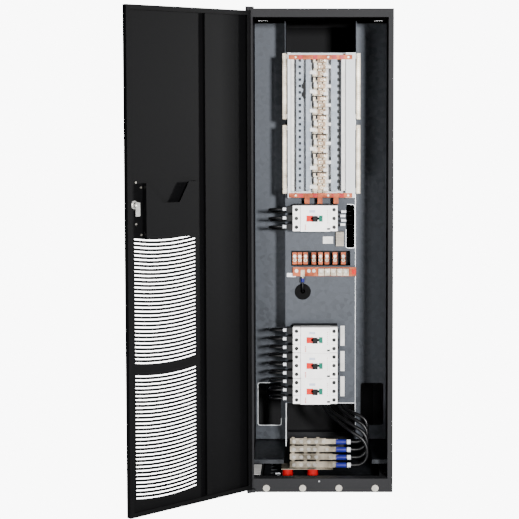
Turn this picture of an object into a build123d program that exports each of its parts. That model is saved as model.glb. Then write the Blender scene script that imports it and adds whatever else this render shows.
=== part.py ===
from build123d import *
import math
import os

os.makedirs("parts", exist_ok=True)

# ---------------------------------------------------------------------------
# Driving dimensions, millimetres. X is to the right, Y to the back, Z up.
# The origin is the centre of the floor anchors, on the floor.
# ---------------------------------------------------------------------------
case_w = 560.0
case_d = 800.0
case_h = 1876.0
case_sheet = 2.0          # painted panels
zinc_sheet = 2.0          # galvanised inner sheets
post_w = 20.0             # front posts, seen from the front
post_d = 42.0
post_sheet = 2.0
top_rail_h = 33.0
skirt_h = 53.0
skirt_bolt_inset = 68.0
skirt_bolt_head = 1.5     # low heads, so that the door closes over them
rail_w = 46.0             # plinth rails, on plan
rail_h = 46.0
rail_sheet = 3.0
anchor_r = 7.0            # floor anchor holes
lift_r = 6.5              # lifting-eye holes in the roof
lift_inset = 50.0
seam = 0.5                # gap left between sheets that are welded or riveted
floor_z = 8.0             # underside of the floor pan
seat = 0.3                # clearance round pieces that pass through a hole

door_open_deg = 139.0     # how far the door stands open at rest
door_t = 22.0             # depth of the folded leaf
door_gap = 2.0            # leaf to cabinet, closed
door_bottom = 17.0
door_top_gap = 10.0
door_side = 2.0           # leaf past the left side of the cabinet
door_right = 4.0          # leaf short of the right side
door_sheet = 2.0
door_lip = 18.0
hinge_in = 4.0            # hinge axis in from the leaf's left edge
hinge_set = 8.0           # hinge axis in from the leaf's outer face
hinge_pin_r = 4.0
hinge_clear = 0.05
rib_s = 183.0             # stiffener, along the door from the hinge axis
rib_w = 24.0
rib_d = 14.0

slot_len = 268.0
slot_open = 5.0
slot_pitch = 14.5
slot_sag = 11.5
slot_edge = 40.0          # slots to the free edge
slot_rows = 32
slot_low_z = 78.0
slot_group_step = 498.0

pocket_w = 228.0
pocket_h = 203.0
pocket_d = 26.0
pocket_z = 1026.0
pocket_edge = 76.0        # pocket to the free edge
pocket_notch = 74.0
pocket_sheet = 2.0

lock_edge = 39.0          # lock to the free edge
lock_z = 1152.0
lock_r = 11.0
lock_hole_clear = 0.4

col_w = 283.0             # galvanised mounting column
col_front = 265.0         # its front face, behind the cabinet front
col_back = 450.0          # plane of the wing panels
col_foot = 290.0          # lower edge of the mounting sheet
col_head_gap = 159.0      # upper edge of the sheet to the roof
side_foot = 111.0         # lower edge of the column sides
wing_foot = 94.0
wing_head_gap = 33.0
wing_edge_gap = 4.0
cutout_w = 96.0
cutout_h = 180.0
cutout_z = 154.0
cutout_edge = 20.0
shelf_z = 88.0
shelf_front = 140.0
shelf_right = 205.0        # the right shelf leaves room for the feeder loops

board_head_gap = 161.0    # top of the panelboard to the roof
board_left = 132.0
board_right = 138.0
board_depth = 50.0
way_pitch = 25.4
way_ends = 46.0           # height of the board with no ways on it
bar_screw_pitch = 8.6
bar_screw_r = 2.6

brk_w = 178.0             # moulded-case breaker, lying on its side
brk_h = 104.0
brk_base_d = 56.0
brk_cover_d = 44.0
brk_x = -22.0
pole_pitch = 35.0
main_gap = 27.0           # top of the main breaker to the panelboard
stack_foot = 308.0
stack_count = 3
main_rise = 384.0         # top of the stack to the foot of the main breaker
plate = 3.0               # mounting plate behind each breaker
toggle_axis_d = 42.0      # toggle axis, in from the cover face
toggle_w = 20.0
toggle_h = 22.0
neck_w = 8.0
neck_r = 5.0
toggle_travel = 13.0      # degrees each way from the middle
window_left = 36.0
window_right = 30.0
window_h = 26.0
window_d = 4.0
button_w = 12.0
button_h = 6.0
button_x = 53.0
button_drop = 41.0
button_travel = 2.0
button_proud = 2.5
button_depth = 9.0

ways_w = 34.0             # wiring window beside the main breaker
ways_h = 176.0
ways_in = 21.5            # its centre, in from the edge of the column
bus_win_edge = 21.5       # window over the incoming lugs, in from both edges
bus_win_h = 61.0
bus_win_drop = 149.0      # its lower edge under the main breaker
neutral_h = 36.0
grommet_r = 32.6
grommet_x = -73.0
grommet_drop = 106.0

standoff_r = 21.0
standoff_h = 40.0
jumper_d = 9.0
feeder_d = 14.0
wire_d = 4.0
bond_d = 8.0

# ---------------------------------------------------------------------------
# Places worked out from the sizes above
# ---------------------------------------------------------------------------
half_w = case_w / 2
front = -case_d / 2
back = case_d / 2
web_y = front + col_front
wing_y = front + col_back
inner = half_w - case_sheet
floor_top = floor_z + zinc_sheet
col_half = col_w / 2
web_top = case_h - col_head_gap
wing_top = case_h - wing_head_gap
board_top = case_h - board_head_gap
board_y = web_y - board_depth
stack_z = [stack_foot + brk_h * (i + 0.5) for i in range(stack_count)]
main_z = stack_foot + brk_h * stack_count + main_rise + brk_h / 2
board_foot = main_z + brk_h / 2 + main_gap
board_h = board_top - board_foot
way_rows = int((board_h - way_ends) / way_pitch)
ways_x = col_half - ways_in
bus_win_w = col_w - 2 * bus_win_edge
brk_zs = {"main": main_z, "top": stack_z[2], "middle": stack_z[1], "bottom": stack_z[0]}
brk_base_y = web_y - plate
brk_split_y = brk_base_y - brk_base_d
brk_face_y = brk_split_y - brk_cover_d
win_z = main_z - brk_h / 2 - bus_win_drop
neutral_z = (win_z - 4 - neutral_h, win_z - 4)
grommet_z = win_z - grommet_drop

door_w = case_w + door_side - door_right
door_top = case_h - door_top_gap
hinge_x = -half_w - door_side + hinge_in
hinge_y = front - door_gap - door_t + hinge_set
free_s = door_w - hinge_in
lock_s = free_s - lock_edge
leaf_in = hinge_set - door_t

jumper_y = web_y + 118
jumper_drop = 30.0

# ---------------------------------------------------------------------------
# Helpers
# ---------------------------------------------------------------------------


def block(x, y, z, mode=Mode.ADD):
    """A box between two corners, given as (low, high) along each axis."""
    middle = ((x[0] + x[1]) / 2, (y[0] + y[1]) / 2, (z[0] + z[1]) / 2)
    with Locations(middle):
        Box(x[1] - x[0], y[1] - y[0], z[1] - z[0], mode=mode)


def rod(x, z, r, y, mode=Mode.ADD):
    """A cylinder along Y between two depths."""
    with Locations(Plane((x, y[0], z), x_dir=(1, 0, 0), z_dir=(0, 1, 0))):
        Cylinder(r, y[1] - y[0], align=(Align.CENTER, Align.CENTER, Align.MIN), mode=mode)


def upright(x, y, r, z, mode=Mode.ADD):
    """A cylinder along Z between two heights."""
    with Locations((x, y, z[0])):
        Cylinder(r, z[1] - z[0], align=(Align.CENTER, Align.CENTER, Align.MIN), mode=mode)


def leaf_plane(depth):
    """A plane of the open door: x along the leaf, y up, z towards its outer face."""
    turn = math.radians(-door_open_deg)
    along = Vector(math.cos(turn), math.sin(turn), 0)
    out = Vector(along.Y, -along.X, 0)
    return Plane(Vector(hinge_x, hinge_y, 0) + out * depth, x_dir=along, z_dir=out)


def leaf_block(s, z, d, mode=Mode.ADD):
    """A box on the door, by its span along the leaf, its heights and its depths."""
    with BuildSketch(leaf_plane(d[0])) as outline:
        with Locations(((s[0] + s[1]) / 2, (z[0] + z[1]) / 2)):
            Rectangle(s[1] - s[0], z[1] - z[0])
    extrude(outline.sketch, amount=d[1] - d[0], mode=mode)


def leaf_rod(s, z, r, d, mode=Mode.ADD):
    """A cylinder through the door's thickness."""
    with BuildSketch(leaf_plane(d[0])) as outline:
        with Locations((s, z)):
            Circle(r)
    extrude(outline.sketch, amount=d[1] - d[0], mode=mode)


def bend_radii(points):
    """The largest arc that fits at each inner point of a cable's route."""
    radii = []
    for before, here, after in zip(points, points[1:], points[2:]):
        run_in = Vector(*here) - Vector(*before)
        run_out = Vector(*after) - Vector(*here)
        half_turn = math.radians(run_in.get_angle(run_out)) / 2
        radii.append(0.45 * min(run_in.length, run_out.length) / math.tan(half_turn))
    return radii


def cable(points, diameter):
    """A round cable along straight runs joined by tangent arcs."""
    radii = bend_radii(points)
    with BuildLine() as route:
        FilletPolyline(*points, radius=radii)
    start = Plane(route.line @ 0, z_dir=route.line % 0)
    with BuildSketch(start) as section:
        Circle(diameter / 2)
    sweep(section.sketch, path=route.line)
    shown = [round(r, 1) for r in radii]
    length = sum(edge.length for edge in route.edges())
    print("cable", diameter, "length", round(length, 1), "radii", shown)


def save(piece, label):
    """Name a finished piece and write it."""
    piece.part.label = label
    export_step(piece.part, "parts/" + label + ".step")


# ---------------------------------------------------------------------------
# Cabinet shell
# ---------------------------------------------------------------------------

# Plinth: a tall front skirt and three folded channels, open inwards, with the floor anchors
# through the side channels.
rail_in = inner - rail_w
rear_y = back - case_sheet
rail_front = front + post_d + seam
rail_back = rear_y - rail_w - seam
anchor_x = inner - rail_w / 2
anchor_y = (rail_back - rail_front) / 2 - 60
skirt_bolt_z = 15.0
skirt_bolt_x = [-half_w + skirt_bolt_inset + (case_w - 2 * skirt_bolt_inset) * i / 3 for i in range(4)]
with BuildPart() as front_skirt:
    block((-half_w, half_w), (front, front + post_d), (0, skirt_h))
    block((-half_w + rail_sheet, half_w - rail_sheet), (front + rail_sheet, front + post_d + 1),
          (-1, skirt_h - rail_sheet), Mode.SUBTRACT)
    for x in skirt_bolt_x:
        rod(x, skirt_bolt_z, 4.5, (front - 1, front + rail_sheet + 1), Mode.SUBTRACT)
save(front_skirt, "front_skirt")

with BuildPart() as plinth_rails:
    for side in (-1, 1):
        x = sorted((side * inner, side * rail_in))
        block(x, (rail_front, rail_back), (0, rail_h))
        web = sorted((side * (inner - rail_sheet), side * (rail_in - 1)))
        block(web, (rail_front - 1, rail_back + 1), (rail_sheet, rail_h - rail_sheet), Mode.SUBTRACT)
        for y in (-anchor_y, anchor_y):
            upright(side * anchor_x, y, anchor_r, (-1, rail_h + 1), Mode.SUBTRACT)
    block((-inner, inner), (rear_y - rail_w, rear_y), (0, rail_h))
    block((-inner - 1, inner + 1), (rear_y - rail_w - 1, rear_y - rail_sheet),
          (rail_sheet, rail_h - rail_sheet), Mode.SUBTRACT)
save(plinth_rails, "plinth_rails")

# Low domed bolts that hold the skirt, each with its shank through the sheet.
with BuildPart() as skirt_bolts:
    for i in range(4):
        rod(skirt_bolt_x[i], skirt_bolt_z, 13.5, (front - skirt_bolt_head, front))
    fillet(skirt_bolts.edges().filter_by(GeomType.CIRCLE).group_by(Axis.Y)[0], radius=1.2)
    for i in range(4):
        rod(skirt_bolt_x[i], skirt_bolt_z, 4.2, (front, front + rail_sheet + 12))
save(skirt_bolts, "skirt_bolts")

# Four folded corner posts. The front pair have a face strip that the lock cam closes behind.
with BuildPart() as corner_posts:
    for side in (-1, 1):
        face = sorted((side * half_w, side * (half_w - post_w)))
        leg = sorted((side * half_w, side * (half_w - post_sheet)))
        block(face, (front, front + post_sheet), (skirt_h + seam, case_h - top_rail_h - seam))
        block(leg, (front, front + post_d), (skirt_h + seam, case_h - top_rail_h - seam))
        rear_leg = sorted((side * (inner - 1), side * (inner - 1 - post_sheet)))
        rear_face = sorted((side * (inner - 1), side * (inner - 1 - post_d)))
        rear_z = (rail_h + seam, case_h - case_sheet - seam)
        block(rear_leg, (rear_y - post_d - 1, rear_y - 1), rear_z)
        block(rear_face, (rear_y - 1 - post_sheet, rear_y - 1), rear_z)
save(corner_posts, "corner_posts")

# Front and rear header channels under the roof.
with BuildPart() as top_rails:
    block((-half_w, half_w), (front, front + post_d), (case_h - top_rail_h, case_h))
    block((-half_w + post_sheet, half_w - post_sheet), (front + post_sheet, front + post_d + 1),
          (case_h - top_rail_h - 1, case_h - post_sheet), Mode.SUBTRACT)
    rear_x = inner - 1 - post_d - seam
    block((-rear_x, rear_x), (rear_y - post_d, rear_y - 1), (case_h - top_rail_h, case_h - case_sheet - seam))
    block((-rear_x - 1, rear_x + 1), (rear_y - post_d - 1, rear_y - 1 - post_sheet),
          (case_h - top_rail_h - 1, case_h - case_sheet - seam - post_sheet), Mode.SUBTRACT)
save(top_rails, "top_rails")

# Roof, with a hole for a lifting eye near each corner.
roof_front = front + post_d + seam
lift_x = half_w - lift_inset
lift_y = (back - roof_front) / 2 - lift_inset
lift_mid = (back + roof_front) / 2
with BuildPart() as roof_panel:
    block((-half_w, half_w), (roof_front, back), (case_h - case_sheet, case_h))
    for x in (-lift_x, lift_x):
        for y in (lift_mid - lift_y, lift_mid + lift_y):
            upright(x, y, lift_r, (case_h - case_sheet - 1, case_h + 1), Mode.SUBTRACT)
save(roof_panel, "roof_panel")

wall_top = case_h - case_sheet - seam
with BuildPart() as side_panels:
    for side in (-1, 1):
        x = sorted((side * half_w, side * inner))
        block(x, (front + post_d + seam, back), (0, wall_top))
save(side_panels, "side_panels")

with BuildPart() as rear_panel:
    block((-inner + seam, inner - seam), (rear_y, back), (0, wall_top))
save(rear_panel, "rear_panel")

# Galvanised floor pan between the rails, with vent slots on the left and a cable opening behind.
pan_x = rail_in - 1
entry_w = 220.0
entry_y = (180.0, 300.0)
floor_slot_y = (-36.0, -78.0, -124.0, -170.0)
with BuildPart() as floor_pan:
    block((-pan_x, pan_x), (rail_front, rail_back), (floor_z, floor_top))
    block((-entry_w / 2, entry_w / 2), entry_y, (floor_z - 1, floor_top + 1), Mode.SUBTRACT)
    for y in floor_slot_y:
        block((-204, -163), (y - 7, y + 7), (floor_z - 1, floor_top + 1), Mode.SUBTRACT)
save(floor_pan, "floor_pan")

# Hinge brackets: a plate and a hub on the cabinet, one above the leaf and one below it.
bracket_t = 6.0
hub_r = 9.0
pin_top = (door_top - 14, case_h + bracket_t)
pin_foot = (2.0, door_bottom + 14)
with BuildPart() as hinge_brackets:
    for low, high in ((case_h + seam / 5, case_h + bracket_t), (2.0, door_bottom - 2)):
        block((hinge_x - 6, -half_w + 24), (hinge_y - 2, front - seam), (low, high))
        upright(hinge_x, hinge_y, hub_r, (low, high))
        upright(hinge_x, hinge_y, hinge_pin_r, (low - 1, high + 1), Mode.SUBTRACT)
    block((-half_w, -half_w + 24), (front - seam, front + 30), (case_h + seam / 5, case_h + bracket_t))
    upright(hinge_x, hinge_y, hub_r, (door_top + 1, case_h + 1))
    upright(hinge_x, hinge_y, hinge_pin_r, (door_top, case_h + 2), Mode.SUBTRACT)
save(hinge_brackets, "hinge_brackets")

with BuildPart() as hinge_pins:
    upright(hinge_x, hinge_y, hinge_pin_r, pin_top)
    upright(hinge_x, hinge_y, hinge_pin_r, pin_foot)
save(hinge_pins, "hinge_pins")

# ---------------------------------------------------------------------------
# Galvanised mounting column
# ---------------------------------------------------------------------------

ways_z = (main_z - brk_h / 2 - 76, main_z - brk_h / 2 - 76 + ways_h)
with BuildPart() as column_web:
    block((-col_half, col_half), (web_y, web_y + zinc_sheet), (col_foot, web_top))
    block((ways_x - ways_w / 2, ways_x + ways_w / 2), (web_y - 1, web_y + zinc_sheet + 1), ways_z,
          Mode.SUBTRACT)
    edges = column_web.edges().filter_by(Axis.Y)
    fillet([e for e in edges if abs(e.center().X) < col_half - 1], radius=8)
    block((-bus_win_w / 2, bus_win_w / 2), (web_y - 1, web_y + zinc_sheet + 1),
          (win_z, win_z + bus_win_h), Mode.SUBTRACT)
    rod(grommet_x, grommet_z, grommet_r - 4, (web_y - 1, web_y + zinc_sheet + 1), Mode.SUBTRACT)
save(column_web, "column_web")

# Column sides: folded back to the wings, with a tapered foot and a narrow front lip.
with BuildPart() as column_sides:
    for side in (-1, 1):
        x = side * (col_half + seam)
        sheet_plane = Plane((x, 0, 0), x_dir=(0, 1, 0), z_dir=(1, 0, 0))
        with BuildSketch(sheet_plane):
            with BuildLine():
                Polyline((web_y, col_foot - 60), (web_y, wing_top), (wing_y - seam, wing_top),
                         (wing_y - seam, side_foot), (wing_y - 110, side_foot), close=True)
            make_face()
        extrude(amount=side * zinc_sheet)
    for z in brk_zs.values():
        block((-col_half - seam - zinc_sheet - 1, -col_half - seam + 1), (jumper_y - 9, jumper_y + 9),
              (z - jumper_drop - pole_pitch - 12, z - jumper_drop + pole_pitch + 12), Mode.SUBTRACT)
save(column_sides, "column_sides")

# Wing panels from the column to the side panels. Each has a hand-sized opening near the foot.
wing_out = inner - wing_edge_gap
wing_in = col_half + seam
with BuildPart() as wing_panels:
    for side in (-1, 1):
        x = sorted((side * wing_out, side * wing_in))
        block(x, (wing_y, wing_y + zinc_sheet), (wing_foot, wing_top))
        hole = sorted((side * (wing_out - cutout_edge + 10), side * (wing_out - cutout_edge + 10 - cutout_w)))
        block(hole, (wing_y - 1, wing_y + zinc_sheet + 1), (cutout_z, cutout_z + cutout_h), Mode.SUBTRACT)
    corners = wing_panels.edges().filter_by(Axis.Y)
    fillet([e for e in corners if wing_in + 5 < abs(e.center().X) < wing_out - 5], radius=10)
save(wing_panels, "wing_panels")

with BuildPart() as gland_shelves:
    for x in ((-wing_out, -wing_in - 6), (shelf_right, wing_out)):
        block(x, (front + shelf_front, wing_y - seam), (shelf_z, shelf_z + zinc_sheet))
        block(x, (front + shelf_front, front + shelf_front + zinc_sheet),
              (shelf_z - 14, shelf_z + zinc_sheet))
save(gland_shelves, "gland_shelves")

# ---------------------------------------------------------------------------
# Panelboard
# ---------------------------------------------------------------------------

# White folded tray with its two side lips.
lip_y = board_y + 2
with BuildPart() as panel_tray:
    block((-board_left, board_right), (web_y - zinc_sheet, web_y), (board_foot, board_top))
    block((-board_left, -board_left + 2), (lip_y - 2, web_y), (board_foot, board_top))
    block((board_right - 2, board_right), (lip_y - 2, web_y), (board_foot, board_top))
    block((-board_left, -board_left + 12), (lip_y - 2, lip_y), (board_foot, board_top))
    block((board_right - 38, board_right), (lip_y - 2, lip_y), (board_foot, board_top))
save(panel_tray, "panel_tray")

tray_y = web_y - zinc_sheet
rows_foot = board_foot + 28
row_z = [rows_foot + way_pitch * (i + 0.5) for i in range(way_rows)]
rows_top = rows_foot + way_pitch * way_rows
rails_top = board_top - 18.6

# Guide rails that the branch breakers would hook on, one punched and one plain, and a slotted
# rail beside the phase bars.
punched_x = (-97.5, -69.5)
plain_x = (41.5, 69.0)
with BuildPart() as guide_rails:
    for x in (punched_x, plain_x):
        block(x, (board_y, tray_y), (rows_foot, rails_top))
        block((x[0] + 2, x[1] - 2), (board_y + 2, tray_y + 1), (rows_foot - 1, rails_top + 1), Mode.SUBTRACT)
    for z in row_z:
        block((punched_x[0] + 9, punched_x[1] - 9), (board_y - 1, board_y + 3), (z - 5, z + 5), Mode.SUBTRACT)
    block((-59, -40), (board_y + 6, tray_y), (rows_foot, rails_top))
    for z in row_z:
        block((-56, -43), (board_y + 5, board_y + 9), (z - 8, z + 8), Mode.SUBTRACT)
save(guide_rails, "guide_rails")

# Three vertical phase bars, the insulators that carry them, and a tongue across them for each way.
bar_y = board_y + 22
phase_x = (-22.0, -3.0, 16.0)
with BuildPart() as bar_supports:
    for i in range(way_rows // 3 + 1):
        z = rows_foot + way_pitch * 3 * i
        block((-34, 28), (bar_y + 5, tray_y), (z - 6, z + 6))
save(bar_supports, "bar_supports")

with BuildPart() as phase_bars:
    for x in phase_x:
        block((x - 7, x + 7), (bar_y, bar_y + 5), (rows_foot - 10, rows_top + 10))
save(phase_bars, "phase_bars")

tongue_t = 3.0
with BuildPart() as bus_tongues:
    for i, z in enumerate(row_z):
        left = -32 if i % 3 != 1 else -27
        right = 26 if i % 3 != 0 else 21
        block((left, right), (board_y + 6, board_y + 6 + tongue_t), (z - 8, z + 8))
        x = phase_x[i % 3]
        block((x - 5, x + 5), (board_y + 6 + tongue_t, bar_y), (z - 7, z + 7))
save(bus_tongues, "bus_tongues")

# Cross bars over the head and the foot of the board, on feet from the tray.
with BuildPart() as cross_bars:
    for z in (board_top - 18, board_foot + 10):
        block((-128, 126), (board_y - 3, board_y), (z - 9, z + 9))
        for x in (-102, 75):
            block((x - 4, x + 4), (board_y, tray_y), (z + 1, z + 7))
save(cross_bars, "cross_bars")

# Outgoing neutral and earth bars down both sides of the tray, each on two feet.
bar_split = board_foot + board_h / 2 + 13
bar_spans = ((bar_split + 12, board_top - 3), (board_foot + 17, bar_split - 12))
bar_xs = ((-board_left - 20, -board_left - 5), (board_right + 5, board_right + 20))
with BuildPart() as terminal_bars:
    for low, high in bar_xs:
        for z in bar_spans:
            block((low, high), (board_y + 4, board_y + 16), z)
save(terminal_bars, "terminal_bars")

# White insulators: toothed strips with one tooth to each way, and the feet of the side bars.
with BuildPart() as strip_insulators:
    for low, high in ((-118.5, -106.5), (82.5, 97.5)):
        block((low, high), (board_y + 8, tray_y), (rows_foot, rails_top))
        for z in row_z:
            block((low, high), (board_y, board_y + 8), (z - 7, z + 7))
    for side, edge in ((-1, board_left), (1, board_right)):
        for z0, z1 in bar_spans:
            for z in (z0 + 12, z1 - 12):
                x = sorted((side * edge, side * (edge + 20)))
                block(x, (board_y + 16, board_y + 30), (z - 8, z + 8))
save(strip_insulators, "strip_insulators")

# Copper straps from the lower cross bar to the line terminals of the main breaker.
strap_foot = main_z + brk_h / 2 + 4
with BuildPart() as feed_straps:
    for x in (-55, -3, 61):
        block((x - 10, x + 10), (board_y - 7, board_y - 3), (strap_foot, board_foot + 16))
save(feed_straps, "feed_straps")

# ---------------------------------------------------------------------------
# Moulded-case breakers: one main breaker and a stack of three
# ---------------------------------------------------------------------------
brk_left = brk_x - brk_w / 2
brk_right = brk_x + brk_w / 2
pole_z = (-pole_pitch, 0.0, pole_pitch)
screw_in = 14.0           # terminal screws, in from the end of the breaker
screw_hole_r = 6.5
window_floor = brk_face_y + window_d
toggle_y = window_floor + toggle_axis_d
swing = math.radians(toggle_travel)
neck_room = neck_w / 2 + 1.0
slot_half = toggle_axis_d * math.sin(swing) + neck_r + 1.5

with BuildPart() as mounting_plates:
    block((brk_left - 4, brk_right + 4), (brk_base_y, web_y), (main_z - brk_h / 2, main_z + brk_h / 2))
    block((brk_left - 4, brk_right + 4), (brk_base_y, web_y),
          (stack_foot, stack_foot + brk_h * stack_count))
save(mounting_plates, "mounting_plates")

breaker_gap = 0.4
with BuildPart() as breaker_bases:
    for z in brk_zs.values():
        block((brk_left, brk_right), (brk_split_y, brk_base_y),
              (z - brk_h / 2 + breaker_gap, z + brk_h / 2 - breaker_gap))
        block((brk_x - slot_half - 8, brk_x + slot_half + 8), (brk_split_y - 1, brk_split_y + 24),
              (z - 16, z + 16), Mode.SUBTRACT)
save(breaker_bases, "breaker_bases")

def one_cover(z):
    """One off-white cover: raised middle, lower terminal ends, a toggle window and a button hole."""
    low = z - brk_h / 2 + breaker_gap
    high = z + brk_h / 2 - breaker_gap
    with BuildPart() as cover:
        block((brk_left + 30, brk_right - 30), (brk_face_y, brk_split_y), (low, high))
        block((brk_left, brk_right), (brk_face_y + 9, brk_split_y), (low + 1, high - 1))
        fillet(cover.edges().filter_by(Axis.Z).group_by(Axis.Y)[0], radius=3)
        block((brk_x - window_left, brk_x + window_right), (brk_face_y - 1, window_floor),
              (z - window_h / 2, z + window_h / 2), Mode.SUBTRACT)
        block((brk_x - slot_half, brk_x + slot_half), (window_floor - 1, window_floor + 5),
              (z - neck_room, z + neck_room), Mode.SUBTRACT)
        block((brk_x - slot_half - 8, brk_x + slot_half + 8), (window_floor + 5, brk_split_y + 1),
              (z - 16, z + 16), Mode.SUBTRACT)
        for x in (brk_left + screw_in, brk_right - screw_in):
            for dz in pole_z:
                rod(x, z + dz, screw_hole_r, (brk_face_y + 8, brk_face_y + 20), Mode.SUBTRACT)
        for edge in (brk_left, brk_right):
            for dz in (-pole_pitch / 2, pole_pitch / 2):
                block((edge - 24, edge + 24), (brk_face_y + 8, brk_face_y + 16),
                      (z + dz - 1.2, z + dz + 1.2), Mode.SUBTRACT)
        block((brk_x + button_x - button_w / 2 - seat, brk_x + button_x + button_w / 2 + seat),
              (brk_face_y - 1, brk_face_y + button_depth + button_travel + 3),
              (z - button_drop - button_h / 2 - seat, z - button_drop + button_h / 2 + seat), Mode.SUBTRACT)
    return cover.part


with BuildPart() as breaker_covers:
    for z in brk_zs.values():
        add(one_cover(z))
save(breaker_covers, "breaker_covers")

for name, z in brk_zs.items():
    # Toggle: a round carrier on its own axis, a neck through the slot and a flat grip.
    with BuildPart() as toggle:
        upright(brk_x, toggle_y, 10, (z - 14, z + 14))
        block((brk_x - neck_r, brk_x + neck_r), (brk_face_y - 6, toggle_y), (z - neck_w / 2, z + neck_w / 2))
        block((brk_x - toggle_w / 2, brk_x + toggle_w / 2), (brk_face_y - 16, brk_face_y - 3),
              (z - toggle_h / 2, z + toggle_h / 2))
        fillet(toggle.faces().sort_by(Axis.Y)[0].edges(), radius=2.5)
        upright(brk_x, toggle_y, 3, (z - 15, z + 15), Mode.SUBTRACT)
    save(toggle, "toggle_" + name)

    # Push-to-trip button, which slides in a blind hole in the cover.
    with BuildPart() as button:
        block((brk_x + button_x - button_w / 2, brk_x + button_x + button_w / 2),
              (brk_face_y - button_proud, brk_face_y + button_depth),
              (z - button_drop - button_h / 2, z - button_drop + button_h / 2))
    save(button, "trip_button_" + name)

# Pins that carry the toggles, held in the cover on both sides of the carrier.
with BuildPart() as toggle_pins:
    for z in brk_zs.values():
        upright(brk_x, toggle_y, 3 - hinge_clear, (z - 16, z + 16))
save(toggle_pins, "toggle_pins")

# Coloured state plates on the floor of each toggle window, cut round the slot.
plate_t = 1.0
with BuildPart() as on_plates:
    for z in brk_zs.values():
        block((brk_x - window_left + 1, brk_x - 9), (window_floor - plate_t, window_floor), (z - 12, z + 12))
        block((brk_x - slot_half, brk_x), (window_floor - 2, window_floor + 1),
              (z - neck_room, z + neck_room), Mode.SUBTRACT)
save(on_plates, "on_plates")

with BuildPart() as off_plates:
    for z in brk_zs.values():
        block((brk_x + 15, brk_x + window_right - 1), (window_floor - plate_t, window_floor),
              (z - 12, z + 12))
        block((brk_x, brk_x + slot_half), (window_floor - 2, window_floor + 1),
              (z - neck_room, z + neck_room), Mode.SUBTRACT)
save(off_plates, "off_plates")

# Black lug shields on the left end of every pole, and a short one on the right.
with BuildPart() as lug_shields:
    for z in brk_zs.values():
        for dz in pole_z:
            block((brk_left - 24, brk_left), (brk_face_y + 18, brk_split_y + 10), (z + dz - 12, z + dz + 12))
save(lug_shields, "lug_shields")

# ---------------------------------------------------------------------------
# Incoming lugs, neutral bar and bonding cable
# ---------------------------------------------------------------------------
recess_d = 60.0
with BuildPart() as lug_recess:
    block((-bus_win_w / 2 - 6, bus_win_w / 2 + 6), (web_y + zinc_sheet, web_y + recess_d),
          (win_z - 6, win_z + bus_win_h + 6))
    block((-bus_win_w / 2, bus_win_w / 2), (web_y, web_y + recess_d - 3), (win_z, win_z + bus_win_h),
          Mode.SUBTRACT)
save(lug_recess, "lug_recess")

# Copper lug straps in the window, each on a block from the back of the recess.
lug_room = (bus_win_w - 42) / 198
lug_xs = [14 - bus_win_w / 2 + lug_room * x for x in (0, 21, 44, 78, 105, 131, 164, 198)]
lug_y = web_y + 10
with BuildPart() as incoming_lugs:
    for x in lug_xs:
        block((x - 9 * lug_room, x + 9 * lug_room), (lug_y, lug_y + 4), (win_z + 4, win_z + bus_win_h - 8))
        block((x - 6, x + 6), (lug_y + 4, web_y + recess_d - 3), (win_z + 8, win_z + 24))
save(incoming_lugs, "incoming_lugs")

# Copper neutral bar on two feet, with a row of tinned connectors on its right part.
neutral_y = web_y - 20
neutral_mid = (neutral_z[0] + neutral_z[1]) / 2
with BuildPart() as neutral_bar:
    block((-113, col_half + 1.5), (neutral_y, neutral_y + 6), neutral_z)
    for x in (-100, col_half - 11.5):
        block((x - 8, x + 8), (neutral_y + 6, web_y), (neutral_mid - 8, neutral_mid + 8))
save(neutral_bar, "neutral_bar")

connector_xs = [2 + 25 * i for i in range(5)]
with BuildPart() as neutral_connectors:
    for x in connector_xs:
        block((x - 11, x + 11), (neutral_y - 18, neutral_y), (neutral_mid - 14, neutral_mid + 14))
        rod(x, neutral_mid + 3, 7, (neutral_y - 19, neutral_y - 12), Mode.SUBTRACT)
        upright(x, neutral_y - 9, 5, (neutral_mid - 15, neutral_mid - 6), Mode.SUBTRACT)
save(neutral_connectors, "neutral_connectors")

# Round grommet that the bonding cable goes through.
bond_y = neutral_y - 10
bond_top = neutral_z[0] - 14
with BuildPart() as cable_grommet:
    rod(grommet_x, grommet_z, grommet_r, (web_y - 5, web_y))
    rod(grommet_x, grommet_z, grommet_r - 4 - seat, (web_y, web_y + zinc_sheet + 3))
    rod(grommet_x, grommet_z + 2, bond_d / 2 + 5, (web_y - 6, web_y + 8), Mode.SUBTRACT)
    fillet(cable_grommet.edges().filter_by(GeomType.CIRCLE).group_by(Axis.Y)[0], radius=2)
save(cable_grommet, "cable_grommet")

# Small rail terminal block under the main breaker.
block_z = main_z - brk_h / 2 - 66
block_x = ways_x - ways_w / 2 - 41
with BuildPart() as terminal_block:
    block((block_x, block_x + 31), (web_y - 26, web_y), (block_z, block_z + 57))
    for i in range(5):
        z = block_z + 7 + 10.75 * i
        block((block_x - 1, block_x + 32), (web_y - 27, web_y - 20), (z + 4.6, z + 6.2), Mode.SUBTRACT)
        for x in (block_x + 7, block_x + 24):
            rod(x, z, 2.6, (web_y - 27, web_y - 21), Mode.SUBTRACT)
save(terminal_block, "terminal_block")

# ---------------------------------------------------------------------------
# Landing bars and feeder cables over the floor
# ---------------------------------------------------------------------------
step = 17.0
bar_pitch = 27.0
base_z = floor_top + standoff_h
feeder_count = 4
bar_y0 = [-241 + step * i for i in range(feeder_count)]
bar_z0 = [base_z + 3 + bar_pitch * i for i in range(feeder_count)]
lug_z = [z + 12 for z in bar_z0]
barrel_r = feeder_d / 2 + 2
with BuildPart() as standoffs:
    for x in (-134, -33):
        upright(x, -215, standoff_r, (floor_top, base_z))
    fillet(standoffs.edges().filter_by(GeomType.CIRCLE).group_by(Axis.Z)[-1], radius=4)
    for x in (-134, -33):
        upright(x, -215, standoff_r + 1.5, (floor_top + 9, floor_top + 13))
save(standoffs, "standoffs")

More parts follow.
